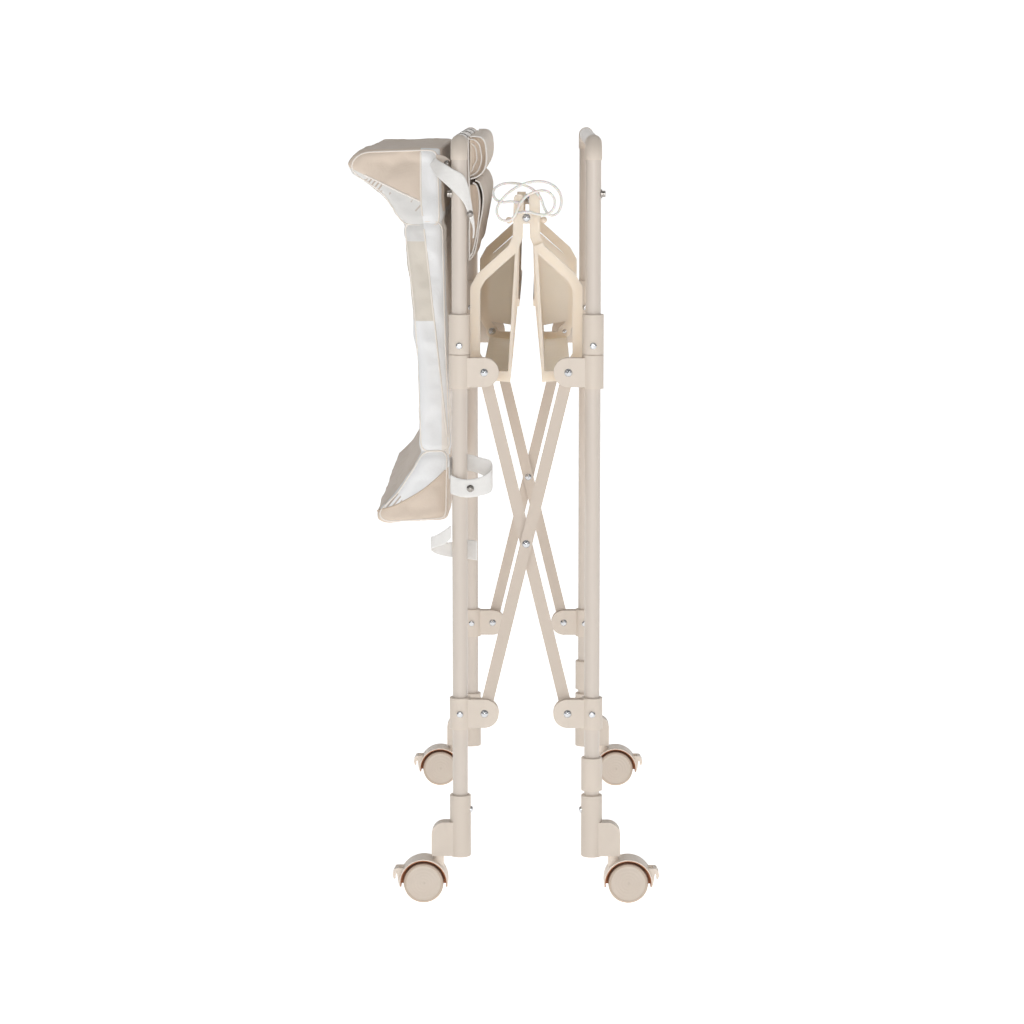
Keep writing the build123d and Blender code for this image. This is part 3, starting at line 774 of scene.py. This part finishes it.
top_fabric = fabric("top_bolster_fabric")
top_print = mottled(top_fabric, FABRIC_PALE)
top_dashes = top_fabric.math("MULTIPLY", dashes(top_fabric, DASH_DENSITY), 0.55)
top_print = top_fabric.mix(top_dashes, top_print, PRINT_BROWN)
top_print = top_fabric.mix(
    top_fabric.math("MULTIPLY", stripes(top_fabric, 0.1885, 0.899, 0.011), 0.75), top_print, PRINT_BROWN)
top_body = top_fabric.mix(
    line_side(top_fabric, (0.2000, 0.9105), (0.1300, 0.8775)), top_print, mottled(top_fabric, FABRIC_BEIGE))
top_body = top_fabric.mix(edge_band(top_fabric), top_body, mottled(top_fabric, FABRIC_WHITE))
top_fabric.colour(top_body)

base_fabric = fabric("base_fabric")
base_print = mottled(base_fabric, FABRIC_PALE)
base_dashes = base_fabric.math("MULTIPLY", dashes(base_fabric, DASH_DENSITY), 0.5)
base_print = base_fabric.mix(base_dashes, base_print, PRINT_BROWN)
base_body = base_fabric.mix(
    band(base_fabric, base_fabric.z, 0.730, 0.829), mottled(base_fabric, FABRIC_WHITE),
    mottled(base_fabric, FABRIC_PANEL))
base_body = base_fabric.mix(base_fabric.step(0.8284, 0.8296, base_fabric.z), base_body, base_print)
base_back = base_fabric.step(0.1060, 0.1048, base_fabric.math("SUBTRACT", FOLD_X, base_fabric.x))
base_body = base_fabric.mix(base_back, base_body, mottled(base_fabric, FABRIC_BACK))
base_body = base_fabric.mix(edge_band(base_fabric), base_body, mottled(base_fabric, FABRIC_WHITE))
base_fabric.colour(base_body)

low_fabric = fabric("bottom_bolster_fabric")
low_depth = low_fabric.math("SUBTRACT", 0.190, low_fabric.math("SUBTRACT", FOLD_X, low_fabric.x))
low_curve = low_fabric.math("MULTIPLY", low_fabric.math("MULTIPLY", low_depth, low_depth), 4.9)
low_line = low_fabric.math("ADD", low_fabric.math("MULTIPLY", low_depth, 0.1429), low_curve)
low_over = low_fabric.math("SUBTRACT", low_fabric.z, low_fabric.math("ADD", low_line, 0.492))
low_above = low_fabric.step(-EDGE_SOFT, EDGE_SOFT, low_over)
low_white = low_fabric.math("MULTIPLY", low_above, end_mask(low_fabric))
low_panel = low_fabric.mix(
    low_fabric.math("MULTIPLY", stripes(low_fabric, 0.1665, 0.5045, 0.012), 0.75),
    mottled(low_fabric, FABRIC_WHITE), PRINT_BROWN)
low_fabric.colour(low_fabric.mix(low_white, mottled(low_fabric, FABRIC_BEIGE), low_panel))

piping_fabric = fabric("piping_fabric", 0.5, 0.0008)
piping_fabric.colour(mottled(piping_fabric, linear(236, 228, 219)))
beige_piping = fabric("beige_piping_fabric", 0.5, 0.0008)
beige_piping.colour(mottled(beige_piping, linear(208, 190, 172)))

MAT_PARTS = (
    ("mat_top_bolster", TOP_OUTLINE, top_fabric, "mat_beige", 0.008, (0.853,)),
    ("mat_base", BASE_OUTLINE, base_fabric, "mat_white", 0.006, (0.849, 0.568)),
    ("mat_bottom_bolster", LOW_OUTLINE, low_fabric, "mat_beige", 0.007, (0.564,)),
)
covers = {}
for node_name, outline, finish, slot, cap, creases in MAT_PARTS:
    shrunk = inset_outline(outline, COVER_INSET)
    cover = piece(f"{node_name}_cover", prism(node_name, shrunk, COVER_HALF), finish.material)
    fill_out(cover, shrunk, cap)
    ruffle(cover, creases, 0.0016)
    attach(cover, "mat")
    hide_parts(node_name)
    covers[node_name] = cover


def surface_tree(obj):
    """Tree for casting rays at a cover."""
    graph = bpy.context.evaluated_depsgraph_get()
    return BVHTree.FromObject(obj, graph)


TREES = {name: surface_tree(cover) for name, cover in covers.items()}


def on_end(node_name, out, z, end, proud):
    """Point on a cover's end face."""
    start = spot(out, z, end * 0.5)
    hit = TREES[node_name].ray_cast(start, Vector((0, -end, 0)))
    y = hit[0].y if hit[0] is not None else end * MAT_HALF
    if abs(y) < MAT_HALF - 0.03:
        y = end * MAT_HALF
    return spot(out, z, y + end * proud)


def on_side(node_name, out, z, y, facing, proud):
    """Point on a cover's front (facing 1) or back (facing -1)."""
    start = spot(out + facing * 0.2, z, y)
    hit = TREES[node_name].ray_cast(start, Vector((facing, 0, 0)))
    x = hit[0].x if hit[0] is not None else FOLD_X - out
    return Vector((x - facing * proud, y, z))


END_NAMES = {-1: "near", 1: "far"}
SEAMS = (
    ("mat_top_bolster", "top_join",
     ((0.2000, 0.9105), (0.1820, 0.9020), (0.1600, 0.8915), (0.1320, 0.8785))),
    ("mat_top_bolster", "top_edge",
     ((0.1283, 0.8600), (0.1300, 0.8760), (0.1305, 0.9000), (0.1305, 0.9380))),
    ("mat_base", "base_edge",
     ((0.0985, 0.5850), (0.1066, 0.6600), (0.1142, 0.7300), (0.1265, 0.8440))),
    ("mat_bottom_bolster", "low_join",
     ((0.1860, 0.4927), (0.1700, 0.4968), (0.1550, 0.5030),
      (0.1310, 0.5175), (0.1120, 0.5330), (0.1010, 0.5435))),
)
for node_name, label, line in SEAMS:
    trim = piping_fabric if label != "low_join" else beige_piping
    for end in (-1, 1):
        samples = smooth_line([Vector((out, z, 0)) for out, z in line], 8)
        points = [on_end(node_name, p.x, p.y, end, 0.0001) for p in samples]
        pipe = cord_tube(f"{label}_{END_NAMES[end]}", points, 0.0011, trim.material, 1)
        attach(pipe, "mat")


def rounded(values):
    """Each value of a closed loop, averaged with its neighbours."""
    return [(values[k - 1] + value * 2 + values[(k + 1) % len(values)]) / 4 for k, value in enumerate(values)]


RIM_INSET = 0.0070


def end_rim(node_name, outline, end):
    """Closed line on an end face, just inside its outline."""
    drawn = inset_outline(outline, RIM_INSET)
    loop = [Vector((out, z, 0)) for out, z in drawn]
    corners = []
    for k, point in enumerate(loop):
        following = loop[(k + 1) % len(loop)]
        count = max(2, int((following - point).length / 0.005))
        corners += [point.lerp(following, i / count) for i in range(count)]
    for _ in range(4):
        corners = rounded(corners)
    points = [on_end(node_name, p.x, p.y, end, 0.0002) for p in corners]
    depths = [p.y for p in points]
    for _ in range(3):
        depths = rounded(depths)
    for point, depth in zip(points, depths):
        point.y = depth
    return points


for node_name, outline, _, _, _, _ in MAT_PARTS:
    for end in (-1, 1):
        rim = end_rim(node_name, outline, end)
        pipe = cord_tube(
            f"{node_name}_rim_{END_NAMES[end]}", rim, 0.0010, piping_fabric.material, 1, True)
        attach(pipe, "mat")

thread_finish = fabric("thread", 0.7, 0.0006)
thread_finish.colour(mottled(thread_finish, linear(222, 212, 200)))


STITCH_LENGTH = 0.0034
STITCH_GAP = 0.0022
STITCH_RADIUS = 0.00032


def stitch_row(name, points):
    """Row of short raised stitches along a line on the mat."""
    shape = bmesh.new()
    travelled = 0.0
    for start, stop in zip(points, points[1:]):
        run = stop - start
        if run.length < 1e-6:
            continue
        heading = run.normalized()
        while travelled + STITCH_LENGTH < run.length:
            one = start + heading * travelled
            two = start + heading * (travelled + STITCH_LENGTH)
            side = heading.orthogonal().normalized() * STITCH_RADIUS
            lift = heading.cross(side).normalized() * STITCH_RADIUS
            ring = [(side, 0.12), (lift, 0.12), (-side, 0.12), (-lift, 0.12)]
            first = [shape.verts.new(one.lerp(two, t) + d * 0.8) for d, t in ring]
            middle = [shape.verts.new((one + two) / 2 + d * 1.25) for d, _ in ring]
            last = [shape.verts.new(two.lerp(one, t) + d * 0.8) for d, t in ring]
            for lower, upper in ((first, middle), (middle, last)):
                for k in range(4):
                    shape.faces.new((lower[k], lower[(k + 1) % 4], upper[(k + 1) % 4], upper[k]))
            shape.faces.new(list(reversed(first)))
            shape.faces.new(last)
            travelled += STITCH_LENGTH + STITCH_GAP
        travelled -= run.length
        travelled = max(travelled, 0.0)
    bmesh.ops.recalc_face_normals(shape, faces=shape.faces)
    mesh = bpy.data.meshes.new(name)
    shape.to_mesh(mesh)
    shape.free()
    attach(piece(name, mesh, thread_finish.material), "mat")


STITCH_ROWS = (
    ("mat_top_bolster", 0.120, 0.934, 1), ("mat_base", 0.12, 0.8285, 1), ("mat_base", 0.12, 0.7300, 1),
    ("mat_base", 0.12, 0.6500, 1), ("mat_base", 0.12, 0.8285, -1), ("mat_base", 0.12, 0.6100, -1),
)
for index, (node_name, out, z, facing) in enumerate(STITCH_ROWS):
    row = [on_side(node_name, out, z, -0.300 + 0.010 * k, facing, 0.0002) for k in range(61)]
    stitch_row(f"mat_stitches_{index}", row)

# ---- Straps ----
strap_finish = Finish("strap_webbing", Sheen_Weight=0.3, Sheen_Roughness=0.4)
strap_rib = strap_finish.math("SINE", strap_finish.math("MULTIPLY", strap_finish.z, 2 * math.pi / 0.0016))
strap_fill = strap_finish.noise(1200.0, 2.0)
strap_drift = strap_finish.noise(36.0, 4.0)
strap_body = strap_finish.mix(strap_drift, linear(234, 232, 229), linear(246, 245, 243))
strap_fleck = strap_finish.math("MULTIPLY", strap_fill, 0.25)
strap_finish.colour(strap_finish.mix(strap_fleck, strap_body, linear(205, 198, 188)))
strap_finish.roughness(strap_finish.spread(strap_drift, 0.60, 0.78))
strap_finish.bump((strap_drift, 0.15, 0.003), (strap_rib, 0.35, 0.0003), (strap_fill, 0.25, 0.0002))

tab_finish = fabric("tab_fabric", 0.66, 0.0013)
tab_finish.colour(mottled(tab_finish, linear(219, 206, 193)))


def stations(rows):
    """Strap stations from (out, z, y) of the upper edge and of the lower edge."""
    return [(spot(*upper), spot(*lower)) for upper, lower in rows]


for end in (-1, 1):
    top_strap = webbing(
        f"top_strap_{END_NAMES[end]}",
        stations((
            ((0.1120, 0.9320, end * 0.3250), (0.1190, 0.9230, end * 0.3250)),
            ((0.1080, 0.9290, end * 0.3330), (0.1140, 0.9140, end * 0.3320)),
            ((0.1000, 0.9250, end * 0.3450), (0.1060, 0.9060, end * 0.3440)),
            ((0.0890, 0.9185, end * 0.3525), (0.0900, 0.8920, end * 0.3520)),
            ((0.0775, 0.9120, end * 0.3530), (0.0780, 0.8790, end * 0.3530)),
            ((0.0715, 0.9000, end * 0.3505), (0.0735, 0.8700, end * 0.3505)),
            ((0.0680, 0.8830, end * 0.3470), (0.0705, 0.8620, end * 0.3470)),
            ((0.0655, 0.8660, end * 0.3440), (0.0690, 0.8560, end * 0.3440)),
        )),
        strap_finish.material,
    )
    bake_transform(top_strap)
    tail = webbing(
        f"strap_tail_{END_NAMES[end]}",
        stations((
            ((0.0655, 0.8660, end * 0.3444), (0.0690, 0.8560, end * 0.3444)),
            ((0.0640, 0.8560, end * 0.3420), (0.0668, 0.8500, end * 0.3420)),
            ((0.0632, 0.8460, end * 0.3410), (0.0656, 0.8420, end * 0.3410)),
            ((0.0640, 0.8340, end * 0.3415), (0.0662, 0.8330, end * 0.3415)),
        )),
        strap_finish.material, 0.0010,
    )
    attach(tail, "left_frame")
    tab = webbing(
        f"snap_tab_{END_NAMES[end]}",
        stations((
            ((0.1110, 0.9360, end * 0.3245), (0.1110, 0.9180, end * 0.3245)),
            ((0.1050, 0.9350, end * 0.3290), (0.1050, 0.9170, end * 0.3290)),
            ((0.0985, 0.9330, end * 0.3320), (0.0985, 0.9160, end * 0.3320)),
            ((0.0935, 0.9290, end * 0.3340), (0.0935, 0.9160, end * 0.3340)),
        )),
        tab_finish.material, 0.0014,
    )
    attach(tab, "mat")
    button = snap(f"tab_snap_{END_NAMES[end]}", spot(0.0970, 0.9245, end * 0.3335), (0, end, 0), 0.0042)
    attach(button, "mat")
    button = snap(f"strap_snap_{END_NAMES[end]}", spot(0.0690, 0.8640, end * 0.3478), (0, end, 0), 0.0040)
    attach(button, "left_frame")

upper_loop = webbing(
    "leg_loop_upper",
    stations((
        ((0.0955, 0.5600, -0.3470), (0.0955, 0.5350, -0.3470)),
        ((0.0940, 0.5620, -0.3310), (0.0940, 0.5370, -0.3310)),
        ((0.0825, 0.5655, -0.3275), (0.0825, 0.5420, -0.3275)),
        ((0.0700, 0.5650, -0.3290), (0.0700, 0.5440, -0.3290)),
        ((0.0560, 0.5615, -0.3330), (0.0560, 0.5400, -0.3330)),
        ((0.0450, 0.5590, -0.3380), (0.0450, 0.5320, -0.3380)),
        ((0.0420, 0.5530, -0.3440), (0.0420, 0.5250, -0.3440)),
        ((0.0450, 0.5460, -0.3500), (0.0450, 0.5190, -0.3500)),
        ((0.0560, 0.5400, -0.3540), (0.0560, 0.5160, -0.3540)),
        ((0.0700, 0.5370, -0.3550), (0.0700, 0.5140, -0.3550)),
        ((0.0825, 0.5380, -0.3535), (0.0825, 0.5150, -0.3535)),
        ((0.0940, 0.5420, -0.3490), (0.0940, 0.5180, -0.3490)),
    )),
    strap_finish.material,
)
lower_loop = webbing(
    "leg_loop_lower",
    stations((
        ((0.0930, 0.4790, -0.3480), (0.0930, 0.4620, -0.3480)),
        ((0.1020, 0.4720, -0.3470), (0.1020, 0.4540, -0.3470)),
        ((0.1130, 0.4650, -0.3430), (0.1130, 0.4500, -0.3430)),
        ((0.1185, 0.4620, -0.3370), (0.1185, 0.4460, -0.3370)),
        ((0.1130, 0.4560, -0.3300), (0.1130, 0.4400, -0.3300)),
        ((0.1000, 0.4540, -0.3270), (0.1000, 0.4360, -0.3270)),
        ((0.0825, 0.4560, -0.3270), (0.0825, 0.4340, -0.3270)),
        ((0.0700, 0.4580, -0.3290), (0.0700, 0.4330, -0.3290)),
        ((0.0610, 0.4570, -0.3340), (0.0610, 0.4320, -0.3340)),
    )),
    strap_finish.material,
)
for strap in (upper_loop, lower_loop):
    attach(strap, "left_frame")
    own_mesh(strap)
loop_snap = snap("loop_snap", spot(0.0690, 0.5255, -0.3557), (0, -1, 0), 0.0044)
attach(loop_snap, "left_frame")
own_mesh(loop_snap)

# ---- Organiser ----
organiser_fabric = fabric("organiser_fabric", 0.68, 0.0014)
organiser_fabric.colour(mottled(organiser_fabric, linear(229, 214, 198)))
binding_fabric = fabric("organiser_binding", 0.55, 0.0010)
binding_fabric.colour(mottled(binding_fabric, linear(241, 236, 230)))
ORGANISER_HALF = 0.298
BINDING_RADIUS = 0.0010
SHEET_THICKNESS = 0.0011
BACK_LINE = ((0.0712, 0.8040), (0.0716, 0.8400), (0.0710, 0.8800), (0.0716, 0.9200), (0.0712, 0.9560))
LINER_LINE = (
    (0.0665, 0.9000), (0.0610, 0.8960), (0.0575, 0.8840), (0.0570, 0.8700),
    (0.0590, 0.8520), (0.0620, 0.8330), (0.0660, 0.8160), (0.0705, 0.8080),
)
POCKET_LINE = (
    (0.0620, 0.9035), (0.0555, 0.9000), (0.0503, 0.8890), (0.0492, 0.8780), (0.0515, 0.8620),
    (0.0545, 0.8480), (0.0580, 0.8300), (0.0625, 0.8130), (0.0690, 0.8050),
)


def flap_line(reach, drop):
    """Rounded lobe from the top of the back panel out to its reach and back in."""
    return (
        (0.0706, 0.9570 - drop), (reach + 0.0085, 0.9565 - drop), (reach + 0.0022, 0.9510 - drop),
        (reach, 0.9400 - drop), (reach, 0.9270), (reach + 0.0032, 0.9160 + drop / 2),
        (reach + (0.0690 - reach) * 0.55, 0.9085 + drop), (0.0700, 0.9050 + drop),
    )


def hung_sheet(name, line, start_y, stop_y, crown_power, seed):
    """Sheet along Y whose ends draw in to the back panel, with its binding at the near and far ends."""
    path = smooth_line([Vector((out, z, 0)) for out, z in line], 4)
    count = max(24, int((stop_y - start_y) / 0.0055))
    rows = []
    for k in range(count + 1):
        share = k / count
        y = start_y + (stop_y - start_y) * share
        crown = math.sin(math.pi * (0.04 + 0.92 * share)) ** crown_power if crown_power else 1.0
        row = []
        for index, point in enumerate(path):
            down = index / (len(path) - 1)
            depth = 0.0705 - (0.0705 - point.x) * crown
            pleat = 0.0009 * math.sin(y * 95 + 4 * down + seed) * down
            ripple = 0.0018 * noise.noise(Vector((y * 16, point.y * 24, seed)))
            sag = 0.0030 * noise.noise(Vector((y * 7, seed, 2.0))) * (1 - down)
            row.append(spot(depth + (pleat + ripple) * crown, point.y + sag, y))
        rows.append(row)
    for end, row in (("near", rows[0]), ("far", rows[-1])):
        binding = cord_tube(
            f"{name}_binding_{end}", row, BINDING_RADIUS, binding_fabric.material, 1)
        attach(binding, "left_frame")
    sheet = piece(name, grid_mesh(name, rows), organiser_fabric.material)
    thicken(sheet, SHEET_THICKNESS, 1 if crown_power else 0)
    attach(sheet, "left_frame")
    length = sum((b - a).length for a, b in zip(path, path[1:]))
    return sheet, round(length, 3)


def end_gusset(name, line, y, inward):
    """Folded-in fabric that closes an end of the organiser between a sheet and the back panel."""
    path = smooth_line([Vector((out, z, 0)) for out, z in line], 3)[2:-2]
    rows = []
    for k in range(9):
        share = k / 8
        fold = y + inward * (0.007 * math.sin(math.pi * share) + 0.0015 * math.sin(3 * math.pi * share))
        rows.append([spot(point.x + (0.0700 - point.x) * share, point.y, fold) for point in path])
    gusset = piece(name, grid_mesh(name, rows), organiser_fabric.material)
    thicken(gusset, 0.0008, 0, False)
    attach(gusset, "left_frame")


for end_name, end_y, inward in (("near", -ORGANISER_HALF + 0.005, 1), ("far", ORGANISER_HALF - 0.005, -1)):
    end_gusset(f"organiser_top_gusset_{end_name}", flap_line(0.0494, 0.0), end_y, inward)
    end_gusset(f"organiser_low_gusset_{end_name}", LINER_LINE, end_y, inward)
back_panel, back_length = hung_sheet("organiser_back", BACK_LINE, -ORGANISER_HALF, ORGANISER_HALF, 0, 1.0)
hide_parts("organiser")
for number, (reach, drop) in enumerate(((0.0494, 0.0), (0.0560, 0.0035), (0.0622, 0.0070))):
    label = f"organiser_flap_{number + 1}"
    flap, length = hung_sheet(
        label, flap_line(reach, drop), -ORGANISER_HALF + 0.004 * number, ORGANISER_HALF, 0.02, 11.0 + number)
liner, length = hung_sheet("organiser_liner", LINER_LINE, -ORGANISER_HALF, ORGANISER_HALF, 0.03, 5.0)
POCKETS = 3
for number in range(POCKETS):
    width = 2 * ORGANISER_HALF / POCKETS
    start_y = -ORGANISER_HALF + number * width + 0.002
    label = f"organiser_pocket_{number + 1}"
    pocket, length = hung_sheet(label, POCKET_LINE, start_y, start_y + width - 0.004, 0.10, 20.0 + number)

RAIL_Z = 0.9495
WRAP_RADIUS = 0.0103
HANGER_HALF = 0.011
for number, y in enumerate((-0.200, 0.0, 0.200)):
    middle = [(0.0714, 0.9180), (0.0713, 0.9350)]
    for k in range(9):
        angle = math.pi * (1.0 - k / 8 * 1.35)
        middle.append((LEG_OUT + WRAP_RADIUS * math.cos(angle), RAIL_Z + WRAP_RADIUS * math.sin(angle)))
    rows = [((out, z, y - HANGER_HALF), (out, z, y + HANGER_HALF)) for out, z in middle]
    hanger = webbing(
        f"organiser_hanger_{number + 1}", stations(rows), strap_finish.material, 0.0010, 4, 4)
    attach(hanger, "left_frame")

# ---- Floor and light ----
floor_finish = Finish("floor_paint", IOR=1.4, Emission_Color=(1.0, 1.0, 1.0, 1.0), Emission_Strength=0.84)
floor_cloud = floor_finish.noise(3.0, 2.0)
floor_finish.colour(floor_finish.mix(floor_cloud, linear(247, 247, 247), linear(250, 250, 250)))
floor_finish.roughness(0.55)
floor_finish.bump((floor_finish.noise(60.0, 2.0), 0.02, 0.001))
FLOOR_FRONT = -12.0
FLOOR_LENGTH = 38.0
CURVE_FROM = 14.0
CURVE_LENGTH = 12.0
CURVE_HEIGHT = 10.0
sweep = []
for k in range(41):
    reach = FLOOR_FRONT + FLOOR_LENGTH * k / 40
    climb = min(1.0, max(0.0, (reach - CURVE_FROM) / CURVE_LENGTH))
    rise = CURVE_HEIGHT * (1 - math.cos(math.pi / 2 * climb))
    sweep.append([Vector((x, reach, rise)) for x in (-20.0, -10.0, 0.0, 10.0, 20.0)])
floor_mesh = grid_mesh("floor", sweep)
floor_mesh.materials.append(floor_finish.material)
for face in floor_mesh.polygons:
    face.use_smooth = True
floor = bpy.data.objects.new("floor", floor_mesh)
scene.collection.objects.link(floor)

world = bpy.data.worlds.new("studio")
scene.world = world
world.use_nodes = True
world.node_tree.nodes["Background"].inputs["Color"].default_value = (1.0, 1.0, 1.0, 1.0)
world.node_tree.nodes["Background"].inputs["Strength"].default_value = 0.22


def soft_light(name, place, target, size, power):
    """Square soft light that faces its target."""
    lamp = bpy.data.lights.new(name, "AREA")
    lamp.size = size
    lamp.energy = power
    obj = bpy.data.objects.new(name, lamp)
    obj.location = place
    obj.rotation_euler = (Vector(target) - Vector(place)).to_track_quat("-Z", "Y").to_euler()
    scene.collection.objects.link(obj)


soft_light("key", (-2.2, -3.2, 3.0), (0, 0, 0.6), 1.6, 14)
soft_light("fill", (2.4, -3.4, 2.2), (0, 0, 0.6), 1.8, 14)
soft_light("front", (0.1, -5.0, 1.25), (0, 0, 0.62), 1.0, 42)
soft_light("top", (0.2, 0.6, 3.6), (0, 0, 0), 2.6, 16)
